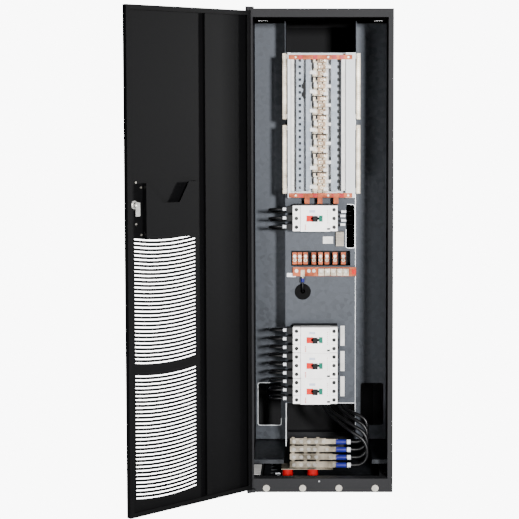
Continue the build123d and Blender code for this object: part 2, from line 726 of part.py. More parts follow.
# Tinned bars in four steps, the lowest one in front, on a base across both standoffs.
with BuildPart() as landing_bars:
    block((-158, 48), (-262, -178), (base_z, base_z + 3))
    for i in range(feeder_count):
        block((-124, 62 - 14 * i), (bar_y0[i], bar_y0[i] + 6), (bar_z0[i], bar_z0[i] + 24))
        for x in (-112, -62, -12):
            block((x - 6, x + 6), (bar_y0[i] + 6, -178), (bar_z0[i], bar_z0[i] + bar_pitch))
save(landing_bars, "landing_bars")

# Crimped lugs: one on the neutral bar, and one on the right end of each landing bar.
with BuildPart() as cable_lugs:
    block((grommet_x - 8, grommet_x + 8), (neutral_y - 3, neutral_y), (neutral_z[0] - 2, neutral_mid + 8))
    upright(grommet_x, bond_y, bond_d / 2 + 2, (bond_top, neutral_z[0] - 2))
    block((grommet_x - 6, grommet_x + 6), (bond_y, neutral_y), (neutral_z[0] - 6, neutral_z[0] - 2))
    for i in range(feeder_count):
        block((46 - 14 * i, 70), (bar_y0[i] - 3, bar_y0[i]), (lug_z[i] - 10, lug_z[i] + 10))
        with Locations(Plane((66, bar_y0[i] - 8, lug_z[i]), x_dir=(0, 1, 0), z_dir=(1, 0, 0))):
            Cylinder(barrel_r, 22, align=(Align.CENTER, Align.CENTER, Align.MIN))
save(cable_lugs, "cable_lugs")

feeder_end_x = 88.0
feeder_loop_x = 188.0
feeder_top_x = (-7, 12, 60, 80)
feeder_mid_x = (110, 118, 126, 130)
feeder_mid_z = (205, 225, 245, 262)
with BuildPart() as power_cables:
    for i in range(feeder_count):
        y = bar_y0[i] - 8
        cable([(feeder_top_x[i] - 4, web_y + 42, col_foot + 110),
               (feeder_top_x[i], web_y + 40, col_foot + 30),
               (feeder_top_x[i] + 22, web_y - 5, col_foot - 28),
               (feeder_mid_x[i], y + 20, feeder_mid_z[i]),
               (feeder_loop_x, y, lug_z[i] + 93),
               (feeder_loop_x - 4, y, lug_z[i]),
               (feeder_end_x, y, lug_z[i])], feeder_d)

    # Looped jumpers from the left poles, round and back into the column through its side.
    shield_y = (brk_face_y + brk_split_y + 28) / 2
    for z in brk_zs.values():
        for dz in pole_z:
            out = brk_left - 24 - 68
            cable([(brk_left - 24, shield_y, z + dz), (out, shield_y, z + dz),
                   (out - 8, (shield_y + jumper_y) / 2, z + dz - 14), (out, jumper_y, z + dz - 26),
                   (-col_half + 10, jumper_y, z + dz - jumper_drop)], jumper_d)

    # Bonding cable: down from its lug and back through the round grommet.
    cable([(grommet_x, bond_y, bond_top), (grommet_x, bond_y, grommet_z + 4),
           (grommet_x, web_y + 32, grommet_z - 4)], bond_d)
save(power_cables, "power_cables")

with BuildPart() as heat_shrinks:
    for i in range(feeder_count):
        with BuildSketch(Plane((76, bar_y0[i] - 8, lug_z[i]), x_dir=(0, 1, 0), z_dir=(1, 0, 0))):
            Circle(barrel_r + 1.2)
            Circle(barrel_r, mode=Mode.SUBTRACT)
        extrude(amount=26)
    upright(grommet_x, bond_y, bond_d / 2 + 3, (bond_top - 8, bond_top + 7))
    upright(grommet_x, bond_y, bond_d / 2 + 2, (bond_top - 9, bond_top + 11), Mode.SUBTRACT)
save(heat_shrinks, "heat_shrinks")

# Thin control wires from the right of the main breaker, back through the wiring window.
with BuildPart() as control_wires:
    for dz in (-26, -9, 9, 26):
        cable([(brk_right, brk_face_y + 26, main_z + dz), (ways_x, brk_face_y + 26, main_z + dz),
               (ways_x + 2, web_y + 10, main_z + dz - 8)], wire_d)
save(control_wires, "control_wires")

# Small screws of the gear: bus tongues, side bars, breaker terminals and neutral connectors.
with BuildPart() as gear_screws:
    for i, z in enumerate(row_z):
        rod(phase_x[i % 3], z, 4.5, (board_y + 2, board_y + 6))
    for z in (board_top - 18, board_foot + 10):
        for x in (-100, 30, 110):
            rod(x, z, 4, (board_y - 6, board_y - 3))
    for low, high in bar_xs:
        for z in bar_spans:
            count = int((z[1] - z[0] - 8) / bar_screw_pitch)
            for i in range(count):
                head_z = z[0] + 8 + bar_screw_pitch * i
                rod((low + high) / 2, head_z, bar_screw_r, (board_y + 1.5, board_y + 4))
    for z in brk_zs.values():
        for x in (brk_left + screw_in, brk_right - screw_in):
            for dz in pole_z:
                rod(x, z + dz, 5, (brk_face_y + 14, brk_face_y + 20))
    for x in connector_xs:
        rod(x, neutral_mid + 3, 6, (neutral_y - 16, neutral_y - 12))
    for x in (-98, -48, -28):
        rod(x, neutral_mid + 4, 7, (neutral_y - 5, neutral_y))
save(gear_screws, "gear_screws")

# Hexagon bolts of the incoming lugs, the landing bars and the feeder lugs.
with BuildPart() as hex_bolts:
    for x in lug_xs:
        with BuildSketch(Plane((x, lug_y, win_z + 38), x_dir=(1, 0, 0), z_dir=(0, -1, 0))):
            RegularPolygon(7, 6)
        extrude(amount=6)
    for i in range(feeder_count):
        for x in (-108, -78, -48, -24 + 6 * (i % 2)):
            with BuildSketch(Plane((x, bar_y0[i], lug_z[i]), x_dir=(1, 0, 0), z_dir=(0, -1, 0))):
                RegularPolygon(8, 6)
            extrude(amount=7)
        with BuildSketch(Plane((54 - 14 * i, bar_y0[i] - 3, lug_z[i]), x_dir=(1, 0, 0), z_dir=(0, -1, 0))):
            RegularPolygon(7, 6)
        extrude(amount=5)
save(hex_bolts, "hex_bolts")

# Blank white marker plates: on the column, beside the stack and on the left plinth rail.
with BuildPart() as marker_plates:
    block((block_x - 53, block_x - 12), (web_y - 1, web_y), (block_z + 7, block_z + 36))
    for z in stack_z:
        block((80, 97), (web_y - 1.5, web_y), (z - 41, z + 41))
    block((-inner + 5, -inner + 39), (-320, -175), (rail_h, rail_h + 0.8))
save(marker_plates, "marker_plates")

# ---------------------------------------------------------------------------
# Door, modelled where it stands open
# ---------------------------------------------------------------------------
leaf_s = (-hinge_in, free_s)
leaf_z = (door_bottom, door_top)
skin_d = (hinge_set - door_sheet, hinge_set)
slot_s0 = free_s - slot_edge - slot_len
slot_mid = slot_s0 + slot_len / 2
with BuildPart() as door_skin:
    leaf_block(leaf_s, leaf_z, skin_d)
    with BuildSketch(leaf_plane(skin_d[0] - 1)):
        for group in range(2):
            for row in range(slot_rows):
                z = slot_low_z + slot_group_step * group + slot_pitch * row
                with BuildLine():
                    ThreePointArc((slot_s0, z), (slot_mid, z - slot_sag), (slot_s0 + slot_len, z))
                    Line((slot_s0 + slot_len, z), (slot_s0 + slot_len, z + slot_open))
                    ThreePointArc((slot_s0 + slot_len, z + slot_open), (slot_mid, z + slot_open - slot_sag),
                                  (slot_s0, z + slot_open))
                    Line((slot_s0, z + slot_open), (slot_s0, z))
                make_face()
    extrude(amount=door_sheet + 2, mode=Mode.SUBTRACT)
    leaf_rod(lock_s, lock_z, lock_r + lock_hole_clear, (skin_d[0] - 1, skin_d[1] + 1), Mode.SUBTRACT)
save(door_skin, "door_skin")

# Folded edges of the leaf, with an inward lip, and the upright stiffener.
fold_d = (leaf_in, skin_d[0])
hole_r = hinge_pin_r + hinge_clear
with BuildPart() as door_folds:
    leaf_block(leaf_s, leaf_z, fold_d)
    leaf_block((leaf_s[0] + door_sheet, leaf_s[1] - door_sheet),
               (leaf_z[0] + door_sheet, leaf_z[1] - door_sheet),
               (fold_d[0] + door_sheet, fold_d[1] + 1), Mode.SUBTRACT)
    leaf_block((leaf_s[0] + door_lip, leaf_s[1] - door_lip), (leaf_z[0] + door_lip, leaf_z[1] - door_lip),
               (fold_d[0] - 1, fold_d[1] + 1), Mode.SUBTRACT)
    upright(hinge_x, hinge_y, hole_r, (leaf_z[0] - 1, leaf_z[1] + 1), Mode.SUBTRACT)
    leaf_block((rib_s, rib_s + rib_w), (leaf_z[0] + door_lip + 1, leaf_z[1] - door_lip - 1),
               (skin_d[0] - rib_d, skin_d[0]))
    leaf_block((rib_s + door_sheet, rib_s + rib_w - door_sheet), (leaf_z[0], leaf_z[1]),
               (skin_d[0] - rib_d + door_sheet, skin_d[0] + 1), Mode.SUBTRACT)
save(door_folds, "door_folds")

# Document pocket: a folded tray with a sloping notch in its open top edge.
pocket_s = (free_s - pocket_edge - pocket_w, free_s - pocket_edge)
with BuildPart() as document_pocket:
    leaf_block(pocket_s, (pocket_z, pocket_z + pocket_h), (skin_d[0] - pocket_d, skin_d[0]))
    leaf_block((pocket_s[0] + pocket_sheet, pocket_s[1] - pocket_sheet),
               (pocket_z + pocket_sheet, pocket_z + pocket_h + 1),
               (skin_d[0] - pocket_d + pocket_sheet, skin_d[0] + 1), Mode.SUBTRACT)
    with BuildSketch(leaf_plane(skin_d[0] - pocket_d - 1)):
        with BuildLine():
            rim = pocket_z + pocket_h
            Polyline((pocket_s[0] + 40, rim + 1), (pocket_s[0] + 83, rim - pocket_notch),
                     (pocket_s[1] - 72, rim - pocket_notch), (pocket_s[1] - 6, rim + 1), close=True)
        make_face()
    extrude(amount=pocket_sheet + 2, mode=Mode.SUBTRACT)
save(document_pocket, "document_pocket")

# Quarter-turn lock: a barrel through the skin, a nut behind it and a cam on the spindle.
barrel_d = (leaf_in - 4, hinge_set + 4)
with BuildPart() as lock_barrel:
    leaf_rod(lock_s, lock_z, lock_r, (barrel_d[0], hinge_set))
    leaf_rod(lock_s, lock_z, lock_r + 4, (hinge_set, barrel_d[1]))
    leaf_rod(lock_s, lock_z, lock_r + 4, (skin_d[0] - 5, skin_d[0]))
    leaf_rod(lock_s, lock_z, 4 + hinge_clear, (barrel_d[0] - 1, hinge_set - 2), Mode.SUBTRACT)
save(lock_barrel, "lock_barrel")

cam_reach = 40.0
with BuildPart() as lock_cam:
    leaf_rod(lock_s, lock_z, 4, (barrel_d[0] - 3.5, hinge_set - 3))
    leaf_block((lock_s - 9, lock_s + 9), (lock_z - cam_reach, lock_z + 9),
               (barrel_d[0] - 3.5, barrel_d[0] - 0.5))
    leaf_rod(lock_s, lock_z, 6.5, (barrel_d[0] - 8, barrel_d[0] - 3.5))
save(lock_cam, "lock_cam")

with BuildPart() as door_screws:
    for z in (lock_z + 80, lock_z - 70):
        leaf_rod(lock_s - 8, z, 4, (skin_d[0] - 3, skin_d[0]))
    for s in (pocket_s[0] - 7, pocket_s[1] + 7):
        for z in (pocket_z + 16, pocket_z + pocket_h - 16):
            leaf_rod(s, z, 4, (skin_d[0] - 3, skin_d[0]))
save(door_screws, "door_screws")
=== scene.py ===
import math
import bmesh
import bpy
from mathutils import Matrix, Vector


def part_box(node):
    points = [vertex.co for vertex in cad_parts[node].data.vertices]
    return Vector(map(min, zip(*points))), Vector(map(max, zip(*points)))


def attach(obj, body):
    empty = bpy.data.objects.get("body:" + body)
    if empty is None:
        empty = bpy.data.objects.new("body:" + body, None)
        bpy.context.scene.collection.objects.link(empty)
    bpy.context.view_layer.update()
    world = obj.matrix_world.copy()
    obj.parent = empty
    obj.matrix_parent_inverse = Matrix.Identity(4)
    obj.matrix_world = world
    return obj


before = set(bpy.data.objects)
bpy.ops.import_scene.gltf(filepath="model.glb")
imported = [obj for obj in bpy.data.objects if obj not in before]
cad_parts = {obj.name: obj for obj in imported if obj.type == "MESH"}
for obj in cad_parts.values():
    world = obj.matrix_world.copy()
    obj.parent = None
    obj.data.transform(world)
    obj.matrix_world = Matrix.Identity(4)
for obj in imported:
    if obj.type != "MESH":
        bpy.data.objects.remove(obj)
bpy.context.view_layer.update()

# ---------------------------------------------------------------------------
# Camera: a long lens a little above chest height, straight in front of the cabinet and tipped
# down slightly, with the frame shifted so that the door and the cabinet both fit.
skirt_low, skirt_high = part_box("front_skirt")
front_y = skirt_low[1]
camera_data = bpy.data.cameras.new("camera")
camera = bpy.data.objects.new("camera", camera_data)
bpy.context.collection.objects.link(camera)
camera_data.lens = 92.67
camera_data.sensor_width = 36.0
camera_data.shift_x = -0.118
camera_data.shift_y = -0.150
camera_data.dof.use_dof = False
camera.location = (0.0, front_y - 5.126, 1.536)
camera.rotation_euler = (math.radians(90.0 - 3.6), 0.0, 0.0)
bpy.context.scene.camera = camera

# ---------------------------------------------------------------------------
# Studio: a floor and a backdrop that glow for the camera only and light nothing, with a darker
# patch of floor under the cabinet, painted shade where the cabinet stands. A small key lamp
# stands beside the camera, a square lamp at the right rakes across the open door, and a weak low
# lamp fills the foot.
def shader_of(material):
    """The nodes, links and main shader of a new material."""
    material.use_nodes = True
    tree = material.node_tree
    return tree.nodes, tree.links, tree.nodes["Principled BSDF"]


def camera_sees(nodes, links, lit, glow, end):
    """Show the glow to the camera, and the other shader to every other ray."""
    ray = nodes.new("ShaderNodeLightPath")
    choice = nodes.new("ShaderNodeMixShader")
    links.new(ray.outputs["Is Camera Ray"], choice.inputs[0])
    links.new(lit.outputs[0], choice.inputs[1])
    links.new(glow.outputs[0], choice.inputs[2])
    links.new(choice.outputs[0], nodes[end].inputs["Surface"])


studio_reach = 60.0
patch_inset = 0.001
shaded_patch_face = 4
glow_strength = 9.0
side_low, side_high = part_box("side_panels")
floor_x = [-studio_reach, side_low[0] + patch_inset, side_high[0] - patch_inset, studio_reach]
floor_y = [-studio_reach, front_y + patch_inset, side_high[1] - patch_inset, studio_reach]
floor_mesh = bpy.data.meshes.new("studio_floor")
floor_mesh.from_pydata(
    [(x, y, 0) for y in floor_y for x in floor_x], [],
    [(k, k + 1, k + 5, k + 4) for k in (4 * j + i for j in range(3) for i in range(3))])
studio_floor = bpy.data.objects.new("studio_floor", floor_mesh)
bpy.context.collection.objects.link(studio_floor)
# The patch under the cabinet takes a far darker tone than the rest of the floor: painted shade
# where the cabinet stands over it.
for floor_name, floor_tone in (("studio_floor", 0.6), ("shaded_floor_patch", 0.12)):
    floor_paint = bpy.data.materials.new(floor_name)
    floor_shader = shader_of(floor_paint)[2]
    floor_shader.inputs["Base Color"].default_value = (floor_tone, floor_tone, floor_tone, 1)
    floor_shader.inputs["Roughness"].default_value = 0.9
    floor_shader.inputs["Specular IOR Level"].default_value = 0.1
    floor_mesh.materials.append(floor_paint)
floor_mesh.polygons[shaded_patch_face].material_index = 1
floor_nodes, floor_links, floor_shader = shader_of(floor_mesh.materials[0])
floor_glow = floor_nodes.new("ShaderNodeEmission")
floor_glow.inputs["Strength"].default_value = glow_strength
camera_sees(floor_nodes, floor_links, floor_shader, floor_glow, "Material Output")
studio_floor.location = (0, 0, -0.001)

sky = bpy.data.worlds.new("studio_sky")
sky.use_nodes = True
sky_nodes = sky.node_tree.nodes
backdrop = sky_nodes["Background"]
backdrop.inputs["Color"].default_value = (1, 1, 1, 1)
backdrop.inputs["Strength"].default_value = glow_strength
room_fill = sky_nodes.new("ShaderNodeBackground")
room_fill.inputs["Color"].default_value = (0.95, 0.97, 1, 1)
room_fill.inputs["Strength"].default_value = 0.10
camera_sees(sky_nodes, sky.node_tree.links, room_fill, backdrop, "World Output")
bpy.context.scene.world = sky


def lamp(name, place, target, size, power):
    """A square area lamp that points at a place."""
    data = bpy.data.lights.new(name, "AREA")
    data.shape = "SQUARE"
    data.size = size
    data.energy = power
    thing = bpy.data.objects.new(name, data)
    bpy.context.collection.objects.link(thing)
    thing.location = place
    thing.rotation_euler = (Vector(target) - Vector(place)).to_track_quat("-Z", "Y").to_euler()


lamp("key_lamp", (1.62, front_y - 6.9, 1.95), (0, front_y, 1.0), 0.5, 1450)
lamp("side_lamp", (5.6, front_y + 0.45, 1.75), (-0.5, front_y - 0.3, 1.0), 0.6, 800)
lamp("fill_lamp", (-0.75, front_y - 2.8, 0.32), (0.2, front_y + 0.45, 0.3), 0.6, 62)


# ---------------------------------------------------------------------------
# Cabinet shell: folded sheet steel with a satin charcoal powder coat, welded at the corners.
# The coat has a fine orange-peel skin and slightly worn, paler patches. Its colours, and those
# of the zinc, are set darker than the real finishes to suit the strong key lamp.
def place_noise(nodes, links, scale, detail, stretch=(1, 1, 1)):
    """Noise laid in the object's own metres, so that its grain keeps one size."""
    place = nodes.new("ShaderNodeTexCoord")
    mapping = nodes.new("ShaderNodeMapping")
    mapping.inputs["Scale"].default_value = stretch
    noise = nodes.new("ShaderNodeTexNoise")
    noise.inputs["Scale"].default_value = scale
    noise.inputs["Detail"].default_value = detail
    links.new(place.outputs["Object"], mapping.inputs["Vector"])
    links.new(mapping.outputs["Vector"], noise.inputs["Vector"])
    return noise.outputs["Fac"]


def ramp(nodes, links, value, stops):
    """A colour ramp over a value, from (place, colour) stops."""
    mixer = nodes.new("ShaderNodeValToRGB")
    while len(mixer.color_ramp.elements) < len(stops):
        mixer.color_ramp.elements.new(0.5)
    for element, (place, colour) in zip(mixer.color_ramp.elements, stops):
        element.position = place
        element.color = (*colour, 1)
    links.new(value, mixer.inputs["Fac"])
    return mixer.outputs["Color"]


def between(nodes, links, value, low, high):
    """A value from 0 to 1 stretched between two numbers."""
    spread = nodes.new("ShaderNodeMapRange")
    spread.inputs["To Min"].default_value = low
    spread.inputs["To Max"].default_value = high
    links.new(value, spread.inputs["Value"])
    return spread.outputs["Result"]


def bump(nodes, links, value, strength, distance, shader):
    """Small relief from a value, on the shader's normal."""
    relief = nodes.new("ShaderNodeBump")
    relief.inputs["Strength"].default_value = strength
    relief.inputs["Distance"].default_value = distance
    links.new(value, relief.inputs["Height"])
    links.new(relief.outputs["Normal"], shader.inputs["Normal"])


def powder_coat(name, dark, pale, rough, gloss=0.16):
    """Satin baked powder, cloudy between two tones, with an orange-peel skin."""
    material = bpy.data.materials.new(name)
    nodes, links, shader = shader_of(material)
    clouds = place_noise(nodes, links, 2.2, 4)
    links.new(ramp(nodes, links, clouds, [(0.35, dark), (0.7, pale)]), shader.inputs["Base Color"])
    links.new(between(nodes, links, clouds, rough - 0.06, rough + 0.08), shader.inputs["Roughness"])
    bump(nodes, links, place_noise(nodes, links, 900, 2), 0.12, 0.0004, shader)
    shader.inputs["Specular IOR Level"].default_value = gloss
    return material


def finish_nodes(material, *names):
    """Give CAD pieces their finish."""
    for name in names:
        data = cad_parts[name].data
        data.materials.clear()
        data.materials.append(material)


charcoal_coat = powder_coat("charcoal_coat", (0.006, 0.006, 0.0068), (0.010, 0.010, 0.011), 0.64)
finish_nodes(charcoal_coat, "front_skirt", "corner_posts", "top_rails", "roof_panel",
             "side_panels", "hinge_brackets", "plinth_rails")
# The rear panel takes a far darker copy of the cabinet coat: painted shade for the back wall, which
# stays dim behind the gear.
shaded_rear_coat = powder_coat("shaded_rear_coat", (0.0022, 0.0022, 0.0026), (0.004, 0.004, 0.0045), 0.8)
finish_nodes(shaded_rear_coat, "rear_panel")

# ---------------------------------------------------------------------------
# Door: one sheet with folded edges, in the same coat but painted far darker all over, as
# painted shade for the dim door beside the lit cabinet.
shaded_door_coat = powder_coat("shaded_door_coat", (0.0005, 0.0005, 0.0006), (0.0010, 0.0010, 0.0012), 0.56,
                        0.05)
finish_nodes(shaded_door_coat, "door_skin", "door_folds", "document_pocket")


# ---------------------------------------------------------------------------
# Galvanised sheets: hot-dipped zinc with large pale and dark spangles and a soft shine.
def galvanised(name, dark, pale, rough):
    """Zinc crystals and clouds, which change both the tone and the shine."""
    material = bpy.data.materials.new(name)
    nodes, links, shader = shader_of(material)
    place = nodes.new("ShaderNodeTexCoord")
    spangle = nodes.new("ShaderNodeTexVoronoi")
    spangle.inputs["Scale"].default_value = 60
    spangle.inputs["Randomness"].default_value = 1.0
    links.new(place.outputs["Object"], spangle.inputs["Vector"])
    grey = nodes.new("ShaderNodeRGBToBW")
    links.new(spangle.outputs["Color"], grey.inputs["Color"])
    clouds = place_noise(nodes, links, 9, 5)
    blend = nodes.new("ShaderNodeMix")
    blend.inputs["Factor"].default_value = 0.45
    links.new(grey.outputs["Val"], blend.inputs["A"])
    links.new(clouds, blend.inputs["B"])
    tone = blend.outputs["Result"]
    links.new(ramp(nodes, links, tone, [(0.2, dark), (0.8, pale)]), shader.inputs["Base Color"])
    links.new(between(nodes, links, tone, rough - 0.1, rough + 0.12), shader.inputs["Roughness"])
    bump(nodes, links, tone, 0.06, 0.0005, shader)
    shader.inputs["Metallic"].default_value = 0.75
    return material


zinc_sheet = galvanised("zinc_sheet", (0.016, 0.018, 0.0215), (0.036, 0.040, 0.047), 0.52)
finish_nodes(zinc_sheet, "column_web", "column_sides", "wing_panels", "mounting_plates")
# The floor pan and the gland shelves take a darker copy of the zinc: painted shade for the low
# sheets that lie in shadow.
shaded_shelf_zinc = galvanised("shaded_shelf_zinc", (0.008, 0.009, 0.011), (0.024, 0.026, 0.03), 0.45)
finish_nodes(shaded_shelf_zinc, "floor_pan", "gland_shelves")


# ---------------------------------------------------------------------------
# Panelboard: a white folded tray with moulded rails and insulators. The plastics are matt,
# with a fine moulded grain.
def moulded(name, dark, pale, rough, grain=700, relief=0.08, gloss=0.25):
    """Plastic or resin with a fine tool grain."""
    material = bpy.data.materials.new(name)
    nodes, links, shader = shader_of(material)
    clouds = place_noise(nodes, links, 30, 4)
    links.new(ramp(nodes, links, clouds, [(0.3, dark), (0.7, pale)]), shader.inputs["Base Color"])
    links.new(between(nodes, links, clouds, rough - 0.05, rough + 0.08), shader.inputs["Roughness"])
    bump(nodes, links, place_noise(nodes, links, grain, 2), relief, 0.0003, shader)
    shader.inputs["Specular IOR Level"].default_value = gloss
    return material


white_coat = powder_coat("white_coat", (0.46, 0.47, 0.48), (0.56, 0.57, 0.58), 0.5)
finish_nodes(white_coat, "panel_tray")
blue_grey = moulded("blue_grey_rail", (0.15, 0.175, 0.21), (0.26, 0.29, 0.33), 0.5)
finish_nodes(blue_grey, "guide_rails")
white_moulding = moulded("white_moulding", (0.46, 0.45, 0.43), (0.62, 0.61, 0.59), 0.5)
finish_nodes(white_moulding, "strip_insulators", "marker_plates")
beige_moulding = moulded("beige_moulding", (0.20, 0.17, 0.13), (0.34, 0.30, 0.24), 0.5)
finish_nodes(beige_moulding, "terminal_block", "bar_supports")


# ---------------------------------------------------------------------------
# Bus metal: copper bars, some bare and some tinned, with a drawn grain and a dull bloom.
def drawn_metal(name, dark, pale, rough):
    """Metal with a grain drawn along its height and a dull bloom."""
    material = bpy.data.materials.new(name)
    nodes, links, shader = shader_of(material)
    grain = place_noise(nodes, links, 160, 5, (4, 4, 0.4))
    bloom = place_noise(nodes, links, 26, 5)
    links.new(ramp(nodes, links, bloom, [(0.3, dark), (0.7, pale)]), shader.inputs["Base Color"])
    links.new(between(nodes, links, grain, rough - 0.1, rough + 0.14), shader.inputs["Roughness"])
    bump(nodes, links, grain, 0.08, 0.0003, shader)
    shader.inputs["Metallic"].default_value = 0.85
    return material


bare_copper = drawn_metal("bare_copper", (0.06, 0.010, 0.003), (0.20, 0.050, 0.020), 0.42)
finish_nodes(bare_copper, "cross_bars", "feed_straps", "incoming_lugs", "neutral_bar")
tin_plate = drawn_metal("tin_plate", (0.10, 0.082, 0.060), (0.30, 0.265, 0.21), 0.42)
finish_nodes(tin_plate, "phase_bars", "bus_tongues", "neutral_connectors",
             "cable_lugs", "terminal_bars")
dull_tin = drawn_metal("dull_tin", (0.05, 0.042, 0.030), (0.24, 0.21, 0.165), 0.42)
finish_nodes(dull_tin, "landing_bars")
zinc_screw = drawn_metal("zinc_screw", (0.16, 0.15, 0.135), (0.36, 0.345, 0.31), 0.36)
finish_nodes(zinc_screw, "gear_screws", "hex_bolts", "hinge_pins", "door_screws", "toggle_pins")
pale_bolt = moulded("pale_bolt", (0.24, 0.225, 0.19), (0.36, 0.34, 0.30), 0.4)
finish_nodes(pale_bolt, "skirt_bolts")

# ---------------------------------------------------------------------------
# Breakers: off-white covers on black bases, with black toggles and trip buttons and a red and
# a green state plate in each toggle window.
breaker_names = ("main", "top", "middle", "bottom")
cover_white = moulded("cover_white", (0.78, 0.76, 0.74), (0.90, 0.88, 0.86), 0.5)
finish_nodes(cover_white, "breaker_covers")
black_moulding = moulded("black_moulding", (0.0016, 0.0016, 0.0018), (0.004, 0.004, 0.0045), 0.5,
                         gloss=0.1)
finish_nodes(black_moulding, "breaker_bases", "lug_shields", "lug_recess",
             *["toggle_" + place for place in breaker_names],
             *["trip_button_" + place for place in breaker_names])
state_red = moulded("state_red", (0.42, 0.008, 0.004), (0.52, 0.014, 0.008), 0.5, gloss=0.08)
finish_nodes(state_red, "on_plates")
state_green = moulded("state_green", (0.003, 0.085, 0.055), (0.005, 0.12, 0.08), 0.5, gloss=0.08)
finish_nodes(state_green, "off_plates")

# ---------------------------------------------------------------------------
# Foot: glossy red resin standoffs, cast in one piece and screwed to the floor pan, that hold
# the landing bars up.
red_resin = moulded("red_resin", (0.24, 0.002, 0.003), (0.36, 0.006, 0.008), 0.24, gloss=0.25)
finish_nodes(red_resin, "standoffs")

# ---------------------------------------------------------------------------
# Cables: stranded copper in black PVC, with blue heat-shrink sleeves over the crimped lugs. A
# soft black rubber grommet lines the hole that the bonding cable comes through.
black_pvc = moulded("black_pvc", (0.0012, 0.0012, 0.0014), (0.003, 0.003, 0.0033), 0.34,
                    300, 0.15, 0.2)
finish_nodes(black_pvc, "power_cables", "control_wires")
blue_sleeve = moulded("blue_sleeve", (0.006, 0.007, 0.09), (0.012, 0.014, 0.16), 0.42,
                      300, 0.2, 0.15)
finish_nodes(blue_sleeve, "heat_shrinks")
soft_rubber = moulded("soft_rubber", (0.0012, 0.0012, 0.0013), (0.0025, 0.0025, 0.0027), 0.75,
                      gloss=0.06)
finish_nodes(soft_rubber, "cable_grommet")

# ---------------------------------------------------------------------------
# Lock: a chromed quarter-turn barrel set through the door skin, with a cam on its inner end that
# swings behind the frame.
lock_chrome = drawn_metal("lock_chrome", (0.72, 0.71, 0.68), (0.92, 0.91, 0.88), 0.16)
finish_nodes(lock_chrome, "lock_barrel", "lock_cam")

# ---------------------------------------------------------------------------
# Breaker fronts: printed panels on the covers, and a slotted screw sunk in each terminal well.
# The print is thin vinyl; the black cups at the well bottoms and the dark screw slots are painted
# shade for the deep wells.
def blocks_piece(name, blocks, edge, material, body):
    """One mesh of small blocks with softened edges, from (low, high) corners in metres."""
    shape = bmesh.new()
    for low, high in blocks:
        for vert in bmesh.ops.create_cube(shape, size=1.0)["verts"]:
            vert.co = Vector([(low[k], high[k])[vert.co[k] > 0] for k in range(3)])
    bmesh.ops.bevel(shape, geom=shape.edges[:], offset=edge, segments=2, affect="EDGES",
                    clamp_overlap=True)
    landed(name, shape, material, body)


def turned_piece(name, places, profile, axis, material, body):
    """Rings of one profile of (radius, along) points, turned about an axis at several places."""
    sides = 20
    shape = bmesh.new()
    across = [k for k in range(3) if k != axis]
    for place in places:
        rings = []
        for radius, along in profile:
            ring = []
            for step in range(sides):
                turn = 2 * math.pi * step / sides
                spot = Vector(place)
                spot[axis] += along
                spot[across[0]] += radius * math.cos(turn)
                spot[across[1]] += radius * math.sin(turn)
                ring.append(shape.verts.new(spot))
            rings.append(ring)
        for one, two in zip(rings, rings[1:]):
            for step in range(sides):
                after = (step + 1) % sides
                shape.faces.new((one[step], one[after], two[after], two[step]))
    bmesh.ops.remove_doubles(shape, verts=shape.verts[:], dist=1e-6)
    landed(name, shape, material, body)


def landed(name, shape, material, body):
    """Turn a finished shape into a piece that rides on a body."""
    bmesh.ops.recalc_face_normals(shape, faces=shape.faces[:])
    mesh = bpy.data.meshes.new(name)
    shape.to_mesh(mesh)
    shape.free()
    piece = bpy.data.objects.new(name, mesh)
    bpy.context.collection.objects.link(piece)
    mesh.materials.append(material)
    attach(piece, body)


cover_low, cover_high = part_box("breaker_covers")
face_y = cover_low[1]
toggle_boxes = [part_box("toggle_" + place) for place in breaker_names]
toggle_zs = [(low[2] + high[2]) / 2 for low, high in toggle_boxes]
toggle_x = (cover_low[0] + cover_high[0]) / 2
pole_step = 0.035
pole_drops = (-pole_step, 0, pole_step)
print_y = face_y - 0.0004
print_edge = 0.0001
panel_left, panel_foot, panel_head = 0.024, 0.024, 0.034
tick_left, tick_right, tick_foot, tick_head = 0.041, 0.037, 0.028, 0.024
tick_step, tick_count = 0.006, 4
dial_left, dial_right, dial_foot, dial_head = 0.048, 0.051, 0.030, 0.034
dial_step, dial_count = 0.008, 7
slot_half_w, slot_half_h, slot_front, slot_back = 0.0035, 0.0008, 0.0022, 0.0034
stub_left, stub_right, stub_front, stub_back = 0.0006, 0.0065, 0.022, 0.036
stub_drop, stub_rise = 0.006, 0.004
well_in = 0.014
well_deep = 0.0095

panel_print = moulded("panel_print", (0.36, 0.40, 0.50), (0.46, 0.50, 0.60), 0.5)
blocks_piece("rating_panels",
             [((toggle_x - panel_left, print_y, z + panel_foot), (toggle_x, face_y, z + panel_head))
              for z in toggle_zs], print_edge, panel_print, "cabinet")
blocks_piece("red_ticks",
             [((toggle_x - tick_left, print_y, z - tick_foot - tick_step * k),
               (toggle_x - tick_right, face_y, z - tick_head - tick_step * k))
              for z in toggle_zs for k in range(tick_count)],
             print_edge, state_red, "cabinet")
pale_print = moulded("pale_print", (0.42, 0.26, 0.25), (0.55, 0.38, 0.36), 0.5)
blocks_piece("dial_ticks",
             [((toggle_x + dial_left, print_y, z + dial_foot - dial_step * k),
               (toggle_x + dial_right, face_y, z + dial_head - dial_step * k))
              for z in toggle_zs for k in range(dial_count)],
             print_edge, pale_print, "cabinet")
well_spots = [(x, face_y + well_deep, z + dz)
              for x in (cover_low[0] + well_in, cover_high[0] - well_in)
              for z in toggle_zs for dz in pole_drops]
collar_profile = [(0.0074, 0.0002), (0.0074, -0.0007), (0.0058, -0.0010), (0.0056, 0.0035),
                  (0.0001, 0.0035)]
# Black cups at the bottoms of the terminal wells: painted shade in the deep wells.
turned_piece("well_shade_cups", well_spots, collar_profile, 1, black_moulding,
             "cabinet")
